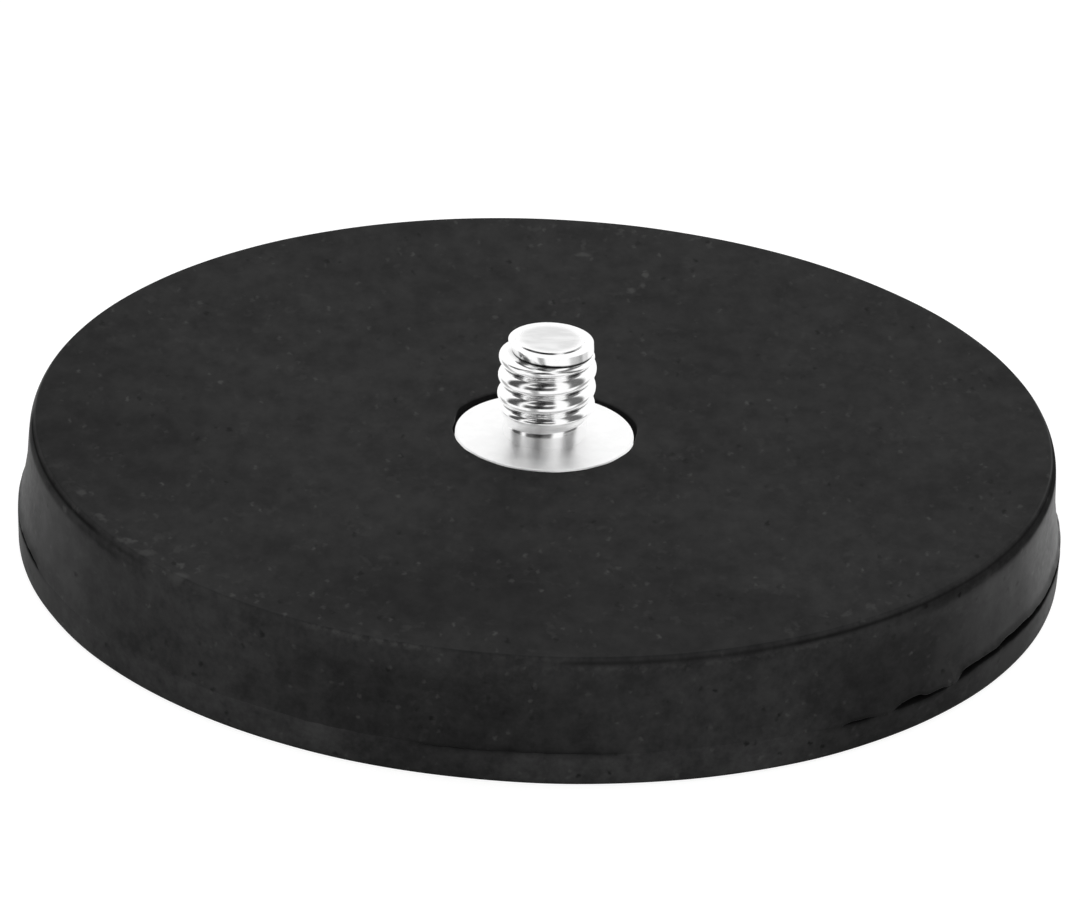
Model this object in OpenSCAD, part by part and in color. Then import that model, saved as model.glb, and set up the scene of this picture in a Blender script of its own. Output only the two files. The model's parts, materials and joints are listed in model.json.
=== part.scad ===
// Rubber-coated disc magnet with a threaded stud.
// Two rubber mouldings enclose a steel plate and a ring of disc magnets. The stud is riveted into the
// plate and stands out of the cover. Z is the axis of the disc, and the bottom face lies at z = 0.

/* [Rubber mouldings] */
// Widest diameter of the body, at the seam between cover and base
body_d = 66; // [60:0.5:90]
// Height of the seam above the bottom face
seam_z = 2.3; // [1.5:0.1:3.5]
// Draft of the cover's side wall, in degrees
cover_draft = 6.9; // [1:0.1:12]
// Draft of the base's side wall, in degrees
base_draft = 3; // [0:0.1:8]
// Thickness of the cover's side wall at the seam
side_wall = 2.5; // [2:0.1:4]
// Thickness of the cover above the plate
top_wall = 2; // [1.5:0.1:4]
// Thickness of the base under the magnets
floor_wall = 1; // [0.6:0.1:2]
// Radius of the cover's top edge
top_edge_r = 0.3; // [0.1:0.05:0.8]
// Radius of the base's bottom edge
foot_edge_r = 0.5; // [0.1:0.05:0.7]
// Radius of the two lips that meet at the seam
lip_r = 0.15; // [0.05:0.05:0.3]
// Radius of the rim of the hole in the cover
rim_r = 0.3; // [0.05:0.05:0.5]

/* [Plate] */
// Thickness of the steel plate
plate_t = 2.5; // [1.5:0.1:5]
// Chamfer on the plate's outer edges
plate_chamfer = 0.3; // [0.1:0.1:0.6]

/* [Magnets] */
// Diameter of a magnet
magnet_d = 10; // [6:0.5:14]
// Thickness of a magnet
magnet_t = 3; // [2:0.5:6]
// Chamfer on a magnet's edges
magnet_chamfer = 0.25; // [0.05:0.05:0.5]
// Rubber between the pockets and the edge of the base's raised boss
boss_margin = 2.4; // [1:0.1:5]
// Least rubber between two neighbouring pockets
pocket_web = 1.5; // [0.8:0.1:4]

/* [Stud] */
// Outside diameter of the thread
thread_d = 6.2; // [4:0.05:9]
// Pitch of the thread
thread_pitch = 1.27; // [0.7:0.01:1.75]
// Length of the threaded stretch, with its end chamfer
thread_len = 4.75; // [3:0.1:20]
// Chamfer at the free end of the thread
tip_chamfer = 0.95; // [0.5:0.05:1.4]
// Length of the plain neck between flange and thread
neck_len = 1.9; // [1:0.1:6]
// How much smaller the neck's radius is than the thread's
neck_relief = 0.5; // [0.2:0.05:0.8]
// Radius of the fillet between neck and flange
neck_fillet = 0.4; // [0.1:0.05:0.8]
// Diameter of the flange
flange_d = 11.3; // [10.5:0.1:16]
// Depth of the flange's face below the cover's top face
flange_recess = 0; // [0:0.05:0.6]
// Radius of the flange's top edge
flange_edge_r = 0.15; // [0.05:0.05:0.4]
// Diameter of the spigot that passes through the plate
spigot_d = 8; // [6:0.1:9]
// Flare of the riveted end of the spigot, on the radius
rivet_flare = 0.8; // [0.4:0.1:1.4]

/* [Clearances] */
// Between the plate or the base's boss and the cover, on the radius
cavity_gap = 0.05; // [0.02:0.01:0.3]
// Between a magnet and its pocket, on the radius
pocket_gap = 0.05; // [0.02:0.01:0.3]
// Between the flange and the hole in the cover, on the radius
flange_gap = 0.35; // [0.05:0.05:0.6]
// Between the spigot and the hole in the plate, on the radius
spigot_gap = 0.05; // [0.02:0.01:0.2]

/* [Hidden] */
$fn = 96;
// How far a cutting shape reaches past the face that it cuts
cut = 0.5;

// Heights of the stack, from the bottom face up
magnet_z = floor_wall;
plate_z = magnet_z + magnet_t;
plate_top_z = plate_z + plate_t;
body_h = plate_top_z + top_wall;
flange_top_z = body_h - flange_recess;
thread_z = flange_top_z + neck_len;
stud_top_z = thread_z + thread_len;

// Radii of the body
body_r = body_d / 2;
top_r = body_r - (body_h - seam_z) * tan(cover_draft);
foot_r = body_r - seam_z * tan(base_draft);
cavity_r = body_r - side_wall;
boss_r = cavity_r - cavity_gap;
plate_r = cavity_r - cavity_gap;

// Radii of the stud and of the holes that it passes through
thread_r = thread_d / 2;
tip_r = thread_r - tip_chamfer;
neck_r = thread_r - neck_relief;
flange_r = flange_d / 2;
spigot_r = spigot_d / 2;
rivet_r = spigot_r + rivet_flare;
cover_hole_r = flange_r + flange_gap;
plate_hole_r = spigot_r + spigot_gap;

// Ring of magnets: the largest even number that fits, so that the poles alternate all the way round
magnet_r = magnet_d / 2;
pocket_r = magnet_r + pocket_gap;
ring_r = boss_r - boss_margin - pocket_r;
magnet_count = 2 * floor(90 / asin((pocket_r + pocket_web / 2) / ring_r));

// Groove of the 60 degree thread, in proportion to its pitch
groove_depth = 0.55 * thread_pitch;
groove_root_w = thread_pitch / 6;
groove_over = 0.08 * thread_pitch;
groove_steps = 36;
// The groove fades in over half a turn, and starts this far below the thread
runout_turns = 0.5;
runout_drop = 0.5;

function magnet_name(i) = str("magnet_", i < 10 ? "0" : "", i);

// Radial place of the centre of an edge rounding between a flat face and a wall that leans by draft
// degrees. A positive draft is a wall that leans away over the edge, a negative one an undercut.
function edge_centre_r(corner_r, draft, edge_r) = corner_r - edge_r * (1 - sin(draft)) / cos(draft);

// Disc with a conical wall from (r1, z1) up to (r2, z2) and a rounded edge at each end
module rounded_disc(r1, z1, edge1, r2, z2, edge2) {
    lean = atan((r1 - r2) / (z2 - z1));
    c1 = edge_centre_r(r1, -lean, edge1);
    c2 = edge_centre_r(r2, lean, edge2);
    rotate_extrude() {
        polygon([
            [0, z1],
            [c1, z1],
            [c1 + edge1 * cos(lean), z1 + edge1 * (1 + sin(lean))],
            [c2 + edge2 * cos(lean), z2 - edge2 * (1 - sin(lean))],
            [c2, z2],
            [0, z2]
        ]);
        translate([c1, z1 + edge1]) circle(edge1);
        translate([c2, z2 - edge2]) circle(edge2);
    }
}

// Straight disc with the same chamfer on both edges
module chamfered_disc(r, t, chamfer) {
    rotate_extrude() polygon([
        [0, 0],
        [r - chamfer, 0],
        [r, chamfer],
        [r, t - chamfer],
        [r - chamfer, t],
        [0, t]
    ]);
}

// Places its children where the i-th magnet stands in its pocket
module at_magnet(i) {
    rotate([0, 0, (i - 0.5) * 360 / magnet_count]) translate([ring_r, 0, magnet_z]) children();
}

module rubber_cover() {
    color("#2c2c2d")
    difference() {
        rounded_disc(body_r, seam_z, lip_r, top_r, body_h, top_edge_r);
        translate([0, 0, seam_z - cut]) cylinder(r = cavity_r, h = plate_top_z - seam_z + cut);
        translate([0, 0, seam_z]) cylinder(r = cover_hole_r, h = body_h - seam_z + cut);
        cover_hole_rim();
    }
}

// Ring cut away at the top of the cover's hole, which leaves a rounded rim
module cover_hole_rim() {
    rotate_extrude() translate([cover_hole_r, body_h - rim_r]) difference() {
        translate([-cut, 0]) square([cut + rim_r, rim_r + cut]);
        translate([rim_r, 0]) circle(rim_r);
    }
}

module rubber_base() {
    color("#242425")
    difference() {
        union() {
            rounded_disc(foot_r, 0, foot_edge_r, body_r, seam_z, lip_r);
            cylinder(r = boss_r, h = plate_z);
        }
        for (i = [1 : magnet_count]) at_magnet(i) cylinder(r = pocket_r, h = magnet_t + cut);
    }
}

module steel_plate() {
    color("#b4b8bc")
    difference() {
        translate([0, 0, plate_z]) chamfered_disc(plate_r, plate_t, plate_chamfer);
        rotate_extrude() polygon([
            [0, plate_z - cut],
            [plate_hole_r + rivet_flare + cut, plate_z - cut],
            [plate_hole_r, plate_z + rivet_flare],
            [plate_hole_r, plate_top_z + cut],
            [0, plate_top_z + cut]
        ]);
    }
}

module magnet(i) {
    color("#c8cbcf")
    at_magnet(i) chamfered_disc(magnet_r, magnet_t, magnet_chamfer);
}

module threaded_stud() {
    color("#d4d6d8")
    difference() {
        stud_blank();
        thread_groove();
    }
}

// The stud before its thread is cut
module stud_blank() {
    rotate_extrude() {
        polygon([
            [0, plate_z],
            [rivet_r, plate_z],
            [spigot_r, plate_z + rivet_flare],
            [spigot_r, plate_top_z],
            [flange_r, plate_top_z],
            [flange_r, flange_top_z - flange_edge_r],
            [flange_r - flange_edge_r, flange_top_z],
            [neck_r, flange_top_z],
            [neck_r, thread_z],
            [thread_r, thread_z + neck_relief],
            [thread_r, stud_top_z - tip_chamfer],
            [tip_r, stud_top_z],
            [0, stud_top_z]
        ]);
        translate([flange_r - flange_edge_r, flange_top_z - flange_edge_r]) circle(flange_edge_r);
        translate([neck_r, flange_top_z]) difference() {
            square(neck_fillet);
            translate([neck_fillet, neck_fillet]) circle(neck_fillet);
        }
    }
}

// Right-hand helical groove, a trapezoid swept up the thread and past its free end
module thread_groove() {
    start_z = thread_z - runout_drop;
    turns = (stud_top_z + thread_pitch / 2 - start_z) / thread_pitch;
    last = ceil(turns * groove_steps);
    fade_steps = runout_turns * groove_steps;
    reach = groove_depth + groove_over;
    outer_w = groove_root_w + 2 * reach * tan(30);

    function fade(step) = reach * max(0, 1 - step / fade_steps);
    function ring_point(step, r, dz) =
        let (turn = (step + 0.5) / groove_steps)
        [r * cos(360 * turn), r * sin(360 * turn), start_z + thread_pitch * turn + dz];
    function ring(step) =
        let (root = thread_r - groove_depth + fade(step), outer = root + reach)
        [
            ring_point(step, outer, -outer_w / 2),
            ring_point(step, outer, outer_w / 2),
            ring_point(step, root, groove_root_w / 2),
            ring_point(step, root, -groove_root_w / 2)
        ];

    sides = [for (step = [0 : last - 1], k = [0 : 3])
        let (a = 4 * step + k, b = 4 * step + (k + 1) % 4)
        each [[a, b, a + 4], [b, b + 4, a + 4]]];
    ends = [[3, 2, 1, 0], [for (k = [0 : 3]) 4 * last + k]];
    polyhedron(points = [for (step = [0 : last]) each ring(step)], faces = concat(sides, ends));
}

rubber_cover();
rubber_base();
steel_plate();
threaded_stud();
for (i = [1 : magnet_count]) magnet(i);
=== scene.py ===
"""Looks of the rubber-coated disc magnet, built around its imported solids.

The two rubber mouldings and the stud are replaced by finer meshes that carry the uneven seam, the worn
edges and the rolled thread. The plate and the magnets inside keep their solids and get a finish here.
Lengths are in millimetres until a mesh is made, and angles about the axis start at +X.
"""

import json
import math

import bmesh
import bpy
import numpy as np
from mathutils import Matrix, Vector

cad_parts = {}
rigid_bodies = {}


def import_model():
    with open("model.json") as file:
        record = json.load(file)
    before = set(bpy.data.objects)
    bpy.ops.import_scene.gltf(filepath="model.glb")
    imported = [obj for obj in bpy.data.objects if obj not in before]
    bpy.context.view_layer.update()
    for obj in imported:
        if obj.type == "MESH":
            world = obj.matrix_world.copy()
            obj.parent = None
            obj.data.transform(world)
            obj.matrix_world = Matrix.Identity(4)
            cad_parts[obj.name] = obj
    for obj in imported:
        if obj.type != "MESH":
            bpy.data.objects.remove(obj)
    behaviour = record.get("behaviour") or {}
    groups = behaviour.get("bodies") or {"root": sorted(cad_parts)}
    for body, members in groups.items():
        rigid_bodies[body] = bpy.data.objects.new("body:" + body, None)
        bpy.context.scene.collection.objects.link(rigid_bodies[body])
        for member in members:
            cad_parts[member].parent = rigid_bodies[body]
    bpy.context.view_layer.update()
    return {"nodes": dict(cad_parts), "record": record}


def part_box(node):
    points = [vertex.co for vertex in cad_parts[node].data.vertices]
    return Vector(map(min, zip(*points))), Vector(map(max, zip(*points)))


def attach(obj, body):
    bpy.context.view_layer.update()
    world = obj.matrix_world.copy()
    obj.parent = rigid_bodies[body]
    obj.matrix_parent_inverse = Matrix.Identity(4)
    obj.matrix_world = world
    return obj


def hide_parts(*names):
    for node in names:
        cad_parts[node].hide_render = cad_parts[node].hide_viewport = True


MM = 0.001

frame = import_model()


# Sizes that the frame gives

def box_mm(node):
    """Lowest and highest corner of a node, in millimetres."""
    low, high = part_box(node)
    return np.array(low) / MM, np.array(high) / MM


cover_low, cover_high = box_mm("rubber_cover")
plate_low, plate_high = box_mm("steel_plate")
stud_high = box_mm("threaded_stud")[1]
magnet_nodes = sorted(name for name in frame["nodes"] if name.startswith("magnet_"))
stud_mount = next(m for m in frame["record"]["mounts"] if m["name"] == "stud")

BODY_R = cover_high[0]
SEAM_Z = cover_low[2]
TOP_Z = cover_high[2]
PLATE_Z = plate_low[2]
PLATE_TOP_Z = plate_high[2]
PLATE_R = plate_high[0]
FLANGE_R = stud_high[0]
STUD_TOP_Z = stud_high[2]
THREAD_R = stud_mount["dims"]["r_mm"]

# Sizes of the mouldings that a box doesn't show. The cover's top edge is an ellipse in section. The hole's
# rim keeps the share RIM_CLOSED of its radius where the hole is close to the flange
COVER_DRAFT = math.radians(6.9)
BASE_DRAFT = math.radians(3.0)
CAVITY_GAP = 0.05
TOP_EDGE_W = 0.35
TOP_EDGE_H = 0.9
FOOT_EDGE_R = 0.5
RIM_R = 0.3
RIM_CLOSED = 0.4
POCKET_GAP = 0.05
TOP_EDGE_Z = TOP_Z - TOP_EDGE_H

# Sizes of the stud that a box doesn't show
FLANGE_RECESS = 0.0
FLANGE_EDGE_R = 0.15
NECK_LEN = 1.9
NECK_RELIEF = 0.45
STUD_SHIFT = 0.05
SPIGOT_R = 4.0
RIVET_FLARE = 0.8
PITCH = 1.27
THREAD_DEPTH = 0.42
NOTCH_SOFT = 0.04
GROOVE_DROP = 0.5
FLANGE_Z = TOP_Z - FLANGE_RECESS
NECK_R = THREAD_R - NECK_RELIEF
GROOVE_Z = FLANGE_Z + NECK_LEN - GROOVE_DROP

# Low ridges on the neck, and the stretch over which they grow into the thread, measured from the flange
NECK_DEPTH = 0.065
RIDGE_START = 0.2
RIDGE_FADE = 0.4
ROLL_START = 0.9
ROLL_FADE = 1.3

# Free end of the stud: a flat face with a low step around it, a flared rim, and a groove under the rim.
# Face and rim lie off the axis. Drops are measured from the face, and RELIEF_WALL is a share of RELIEF_H
END_DROP = 0.13
FACE_R = 2.15
FACE_SHIFT = 0.08
EDGE_R = 2.7
EDGE_SHIFT_X = 0.14
EDGE_SHIFT_Y = 0.07
EDGE_DROP = 0.17
BEVEL_W = 0.03
BEVEL_H = 0.02
LEDGE_GAP = 0.04
LEDGE_RISE = 0.04
RIM_FOOT_R = 2.6
RIM_FOOT_SHIFT = 0.28
RIM_H = 0.7
RELIEF_DEPTH = 0.2
RELIEF_H = 0.09
RELIEF_WALL = 0.6
END_Z = STUD_TOP_Z - END_DROP
SHANK_TOP_Z = END_Z - RIM_H - RELIEF_H

# Profile of the step, as (distance outside the face, drop), and how far inside the face its rings lie
STEP_PROFILE = [
    (0.03, 0.1),
    (0.015, 0.0385),
    (-0.02, 0.011),
]
FACE_RINGS = (0.06, 0.1, 0.2, 0.35, 0.6, 1.0, 1.5)

# The thread's last turn, just under the free end, is cut down
TOP_TURN_CUT = 0.24
TOP_TURN_H = 0.3
TOP_TURN_FADE = 0.25

# Dark lines painted on the stud as shade, as (start, end, strength), in degrees from +X: on the step around
# the face as a painted dark reflection, in the groove under the rim, and in the notches of the thread. The
# softness of their ends is in degrees
STEP_LINES = [
    (-130, -76, 0.95),
    (-58, -24, 0.6),
]
STEP_LINE_SOFTNESS = 20
RELIEF_LINES = [
    (-176, -8, 0.5),
    (-112, -68, 0.95),
]
RELIEF_LINE_SOFTNESS = 16
NOTCH_LINES = [
    (-176, -128, 0.9),
    (-58, -6, 0.9),
]
NOTCH_LINE_SOFTNESS = 14

# Share of the thread's depth from which the notch lines show, and their fade
NOTCH_LINE_FROM = 0.8
NOTCH_LINE_FADE = 0.15

# Reach of the satin finish: inward from the edge of the end face, and up from the flange onto the neck.
# The tolerance tells vertices at a level from those above or below it
END_FACE_INSET = 0.03
END_FACE_FADE = 0.5
FLANGE_FADE = 0.02
LEVEL_TOLERANCE = 0.005

# Mesh detail: steps around the axis, rows along the stretches of a profile, how many rows of the base's
# wall share one waviness, height of a row on the shank, samples of the thread's form, the width of a row
# that keeps an edge crisp, and the angle in degrees from which a corner stays sharp
RUBBER_STEPS = 960
STUD_STEPS = 256
POCKET_STEPS = 64
SEAM_FACE_ROWS = 3
LIP_ROWS = 7
COVER_WALL_ROWS = 25
TOP_EDGE_ROWS = 15
TOP_ROWS = 36
HOLE_RIM_ROWS = 7
FOOT_ROWS = 9
BASE_WALL_ROWS = 8
ROWS_PER_WAVE = 3
FLANGE_EDGE_ROWS = 6
FLANGE_ROWS = 8
SHANK_STEP = 0.03
END_RIM_ROWS = 7
LEDGE_ROWS = 3
THREAD_SAMPLES = 512
SUPPORT_W = 0.06
FLANGE_SUPPORT_W = 0.05
SHARP_ANGLE = 50

# Stretches of the seam that have opened, as (start, end, strength), in degrees from +X
SEAM_OPENINGS = [
    (-36, -20, 1.15),
    (-26, 14, 0.95),
    (-46.5, -42, 0.85),
    (-44, -38.5, 0.6),
    (-53.5, -50.0, 0.6),
    (-101.5, -82, 0.1),
    (-190, -161.5, 0.5),
    (41, 60, 0.6),
    (92, 121, 0.8),
    (139, 158, 0.5),
]
SEAM_SOFTNESS = 1.6
OPENING_WAVE = 0.14
OPENING_MOST = 1.2

# Stretches where painted shade darkens the wall beside the seam, in the same form, how far from the line, and
# how much an opening darkens it
SEAM_SHADES = [
    (-103, -80, 0.6),
    (-56, -48, 0.5),
    (-170, -159, 0.4),
]
SEAM_SHADE_SOFTNESS = 4
SEAM_SHADE_H = 0.2
OPEN_SHADE = 1.6
OPEN_SHADE_MOST = 0.7

# Stretches where the seam lies lower, as (start, end, drop), the drop in millimetres
SEAM_DIPS = [
    (-56, -36, 0.28),
]
DIP_SOFTNESS = 6

# Height of an open seam, its waviness with the shares of long and short waves, and the lips beside it
SEAM_GAP = 0.34
SEAM_WAVE = 0.05
LONG_WAVE = 0.7
SHORT_WAVE = 0.3
SEAM_REACH = 1.2
LIP_R_CLOSED = 0.006
LIP_R_OPEN = 0.1

# Painted shade inside an open seam: its strength, the share of the lip's radius where it starts, and its fade
GAP_DARKNESS = 2.2
GAP_START = 0.6
GAP_FADE = 0.05

# How far the mouldings stand off straight cones: swollen at the seam, waisted above it, full at the top
SEAM_SWELL = 0.065
WAIST_DEPTH = 0.12
WAIST_H = 1.0
SHOULDER_SWELL = 0.2
SHOULDER_Z = 2.6
SHOULDER_H = 3.0

# Waviness of the walls in millimetres, and of the edges as a share of their size
WALL_WAVE = 0.004
TOP_EDGE_WAVE = 0.03
FOOT_EDGE_WAVE = 0.05

# Stretches of the hole's rim that stand away from the flange, in the same form. The hole is painted dark
# inside as painted shade
HOLE_WIDE = [
    (8, 85, 0.6),
    (85, 160, 1.0),
]
HOLE_SOFTNESS = 24
HOLE_WAVE = 0.04
HOLE_CLOSE = 0.1
HOLE_APART = 0.5
HOLE_DARK_DROP = 0.03
HOLE_DARK_FADE = 0.05

# Stretches of the cover's top edge that are rubbed, in the same form
WORN_EDGE = [
    (-116, -101, 0.9),
    (-95, -84, 0.4),
    (-137, -124, 0.3),
    (28, 55, 0.5),
    (120, 150, 0.6),
]
WORN_SOFTNESS = 6
WORN_INSET = 0.1
WORN_W = 0.2

# Stretches of the cover's top edge with a dark line of painted shade just below it, in the same form
SHADED_EDGES = [
    (-179, -148, 1.0),
    (-146, -141, 0.5),
    (-87, -60, 0.6),
    (-62, 0, 0.9),
    (100, 130, 0.7),
]
SHADED_EDGE_SOFTNESS = 5
SHADED_EDGE_DROP = 0.3
SHADED_EDGE_W = 0.13

# Stretches of the top edge that are dull down to this far below the top face, in the same form
DULL_EDGE = [
    (-42, 14, 1.0),
    (-75, -42, 0.4),
    (-182, -140, 0.9),
    (20, 160, 0.5),
]
DULL_EDGE_SOFTNESS = 10
DULL_EDGE_H = 1.3
DULL_EDGE_FADE = 0.5
DULL_TOP_FADE = 0.12

# Stretches of the wall that are duller or glossier all the way down, in the same form
DULL_WALL = [
    (-195, -157, 0.45),
]
DULL_WALL_SOFTNESS = 20
GLOSSY_WALL = [
    (-18, 16, 1.4),
    (-9, 16, 2.4),
]
GLOSSY_SOFTNESS = 10

# Stretches that get a painted highlight, a light line under the line of painted shade, in the same form
HIGHLIGHT_LINES = [
    (-90, -52, 0.55),
    (-168, -160, 0.4),
]
LIGHT_LINE_SOFTNESS = 10
LIGHT_LINE_DROP = 0.66
LIGHT_LINE_W = 0.15

# Stretches of the edge that are painted dark over their whole height as painted shade, in the same form
DARK_EDGES = [
    (-44, 6, 0.6),
    (-181, -160, 0.35),
]
DARK_EDGE_SOFTNESS = 10
DARK_EDGE_DROP = 0.5
DARK_EDGE_W = 0.34

# Stretches of the top face beside the edge that carry light scuffs, in the same form
SCUFFED = [
    (-153, -124, 1.0),
    (-62, -40, 0.5),
    (70, 100, 0.6),
]
SCUFF_SOFTNESS = 5
SCUFF_INSET = 1.2
SCUFF_W = 1.0

# Where the top face starts, inward from the corner, and the zone beside the corner that has the edge's marks
ON_TOP_INSET = 0.12
ON_TOP_FADE = 0.2
EDGE_ZONE = 1

# Tone of the side wall, painted lighter than the top to stand in for the light it gets, and stretches of it
# that are painted darker below the top edge as painted shade
WALL_TONE_AND_LIGHT = 1.39
WALL_DARK = [
    (-118, -83, 0.4),
    (-55, -35, 0.58),
    (60, 95, 0.25),
    (150, 170, 0.2),
]
WALL_DARK_SOFTNESS = 16
WALL_DARK_TOP = 0.5
WALL_DARK_FADE = 2.0

# Tone and gloss of the base's band as shares of the wall's, its tone painted lighter to stand in for its
# light, and stretches of the band that are painted darker as painted shade. Tone and gloss fade in above the
# bottom face
BASE_TONE_AND_LIGHT = 1.5
BASE_GLOSS = 0.3
BASE_DARK = [
    (-175, -150, 0.26),
    (-150, -112, 0.13),
    (-110, -92, 0.34),
    (-92, -62, 0.1),
    (-60, -30, 0.48),
    (-30, -16, 0.56),
]
BASE_DARK_SOFTNESS = 12
BAND_FADE = 0.15
BAND_GLOSS_Z = 0.1
BAND_GLOSS_FADE = 0.6

# Patches of painted light and shade on the top face, the light one in front of the flange a painted
# reflection of the stud, as (x, y, reach in x, reach in y, change of tone)
TOP_PATCHES = [
    (-5, -24, 13, 8, -0.3),
    (14, -26, 9, 5, -0.16),
    (-30, -2, 6, 12, -0.19),
    (1, -7.3, 2.5, 0.9, 0.15),
    (21, -19, 8, 5, 0.14),
    (-24, -4, 6, 8, -0.07),
    (-12, 4, 9, 8, 0.05),
]


# Mesh helpers

def full_circle(count):
    """Evenly spaced angles of one turn."""
    return np.arange(count) * 2 * math.pi / count


def ripple(angles, lowest, highest, seed):
    """Smooth periodic noise about the axis, with a standard deviation of 1."""
    rng = np.random.default_rng(seed)
    waves = np.arange(lowest, highest + 1)
    phases = rng.uniform(0, 2 * math.pi, len(waves))
    heights = rng.uniform(0.5, 1.0, len(waves)) / np.sqrt(waves)
    total = (heights[:, None] * np.cos(waves[:, None] * angles + phases[:, None])).sum(axis=0)
    return total / total.std()


def smooth_step(value):
    """Eased ramp from 0 to 1."""
    clipped = np.clip(value, 0, 1)
    return clipped * clipped * (3 - 2 * clipped)


def arc_mask(angles, spans, softness):
    """Strength along the turn, 0 outside the spans. They are (start, end, strength), in degrees."""
    mask = np.zeros_like(angles)
    for start, end, strength in spans:
        middle = math.radians((start + end) / 2)
        half = math.radians(abs(end - start) / 2)
        away = np.abs((angles - middle + math.pi) % (2 * math.pi) - math.pi)
        mask = np.maximum(mask, strength * smooth_step((half - away) / math.radians(softness) + 0.5))
    return mask


def shares(rows):
    """Evenly spaced shares of a stretch, from the first row after its start to its end."""
    return np.linspace(0, 1, rows + 1)[1:]


def arc_rings(centre_r, centre_z, radius, start, end, steps):
    """Rings along a round edge. Its angles, in degrees, are measured from the outward direction."""
    rings = []
    for turn in np.radians(np.linspace(start, end, steps)):
        rings.append((centre_r + radius * math.cos(turn), centre_z + radius * math.sin(turn)))
    return rings


def between(first, last, steps):
    """Rings between two rings, without the two themselves."""
    rings = []
    for share in np.linspace(0, 1, steps + 2)[1:-1]:
        rings.append(tuple(a + (b - a) * share for a, b in zip(first, last)))
    return rings


def revolve(name, angles, rings, ends):
    """Object of revolution. A ring is (radius, height), each a number or one value for every angle.

    ends is "joined" where the last ring meets the first, "capped" where the axis closes both ends, and
    "open" where it closes the first end only.
    """
    count = len(angles)
    points = []
    for radius, height in rings:
        radius = np.broadcast_to(radius, count)
        height = np.broadcast_to(height, count)
        points.append(np.stack([radius * np.cos(angles), radius * np.sin(angles), height], axis=-1))
    rows = len(points)
    index = np.arange(rows * count).reshape(rows, count)
    ahead = np.roll(index, -1, axis=1)
    faces = []
    for row in range(rows if ends == "joined" else rows - 1):
        above = (row + 1) % rows
        faces += np.stack([index[row], ahead[row], ahead[above], index[above]], axis=-1).tolist()
    vertices = np.concatenate(points)
    if ends != "joined":
        pole = len(vertices)
        vertices = np.concatenate([vertices, [[0, 0, points[0][:, 2].mean()]]])
        faces += [[pole, b, a] for a, b in zip(index[0].tolist(), ahead[0].tolist())]
    if ends == "capped":
        pole = len(vertices)
        vertices = np.concatenate([vertices, [[0, 0, points[-1][:, 2].mean()]]])
        faces += [[pole, a, b] for a, b in zip(index[-1].tolist(), ahead[-1].tolist())]
    mesh = bpy.data.meshes.new(name)
    mesh.from_pydata((vertices * MM).tolist(), [], faces)
    smooth(mesh)
    made = bpy.data.objects.new(name, mesh)
    bpy.context.scene.collection.objects.link(made)
    return made


def smooth(mesh):
    """Smooth shading that keeps the true corners sharp."""
    mesh.shade_smooth()
    mesh.set_sharp_from_angle(angle=math.radians(SHARP_ANGLE))


def set_attribute(made, name, values):
    """Stores one number for every vertex, for a material to read."""
    layer = made.data.attributes.new(name, "FLOAT", "POINT")
    layer.data.foreach_set("value", np.asarray(values, dtype=np.float32))


def vertex_table(made):
    """Radius, angle and height of every vertex, in millimetres and radians."""
    flat = np.zeros(len(made.data.vertices) * 3)
    made.data.vertices.foreach_get("co", flat)
    x, y, z = flat.reshape(-1, 3).T / MM
    return np.hypot(x, y), np.arctan2(y, x), z


# Rubber mouldings

def seam_shape(angles):
    """How far the seam has opened, from 0 to OPENING_MOST, and the height of its uneven line."""
    opened = arc_mask(angles, SEAM_OPENINGS, SEAM_SOFTNESS)
    opened = np.clip(opened * (1 + OPENING_WAVE * ripple(angles, 12, 90, seed=11)), 0, OPENING_MOST)
    waves = LONG_WAVE * ripple(angles, 3, 30, seed=12) + SHORT_WAVE * ripple(angles, 30, 200, seed=13)
    line_z = SEAM_Z + SEAM_WAVE * waves
    return opened, line_z - arc_mask(angles, SEAM_DIPS, DIP_SOFTNESS)


def lip_radius(opened):
    """Radius of the lips at the seam, which are sharp where it is closed."""
    return LIP_R_CLOSED + (LIP_R_OPEN - LIP_R_CLOSED) * opened


def seam_shade(angles, opened, lip_z, height, rows):
    """Painted shade on the wall beside the lip of the seam, for all rows of a moulding's vertices."""
    beside = np.clip(OPEN_SHADE * opened, 0, OPEN_SHADE_MOST)
    strength = np.maximum(beside, arc_mask(angles, SEAM_SHADES, SEAM_SHADE_SOFTNESS))
    return np.tile(strength, rows) * np.exp(-((height - np.tile(lip_z, rows)) / SEAM_SHADE_H) ** 2)


def wall_radius(height):
    """Radius of the cover's side wall before its edges are rounded."""
    above = height - SEAM_Z
    cone = BODY_R + SEAM_SWELL - above * math.tan(COVER_DRAFT)
    waist = WAIST_DEPTH * smooth_step(above / WAIST_H)
    shoulder = SHOULDER_SWELL * smooth_step((above - SHOULDER_Z) / SHOULDER_H)
    return cone - waist + shoulder


def top_edge_width(angles):
    """Slightly uneven width of the cover's top edge."""
    return TOP_EDGE_W * (1 + TOP_EDGE_WAVE * ripple(angles, 4, 40, seed=14))


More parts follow.
